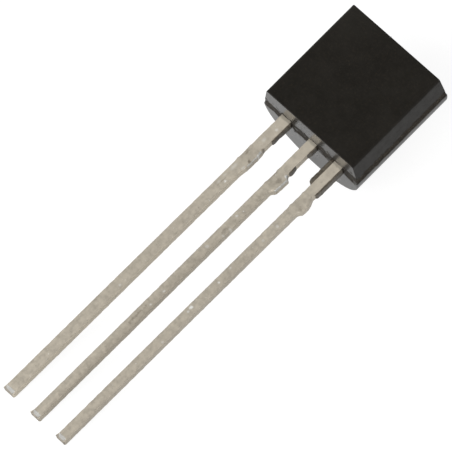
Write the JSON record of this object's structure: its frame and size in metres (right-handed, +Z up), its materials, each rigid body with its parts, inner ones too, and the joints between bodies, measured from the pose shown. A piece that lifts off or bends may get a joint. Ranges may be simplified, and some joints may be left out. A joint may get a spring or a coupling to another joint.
{
  "type": "to-92 transistor",
  "caption": "Small through-hole transistor: a D-shaped black epoxy moulding with a flat front and a round back, on a stamped and tinned lead frame with long straight leads.",
  "frame": {"origin": "on the surface it lies on, below the middle of the part's box", "axes": "+Y runs from the tips of the leads towards the moulding, +X to the right seen with the flat towards the viewer and the leads down, +Z up away from the surface, on the side of the flat"},
  "size_m": [0.0046, 0.0184, 0.0044],
  "materials": {
    "epoxy": "black moulded epoxy with a fine grain, semi-gloss",
    "tinned_metal": "matt tin plating with fine lengthwise streaks and small marks",
    "silicon": "polished silicon, sealed inside",
    "silver_adhesive": "silver-filled adhesive, sealed inside",
    "gold_wire": "bright gold wire, sealed inside"
  },
  "bodies": {
    "root": {"moulded_body": "epoxy", "collector_lead": "tinned_metal", "base_lead": "tinned_metal", "emitter_lead": "tinned_metal", "silicon_die": "silicon", "die_attach": "silver_adhesive", "base_bond_wire": "gold_wire", "emitter_bond_wire": "gold_wire"}
  },
  "joints": []
}
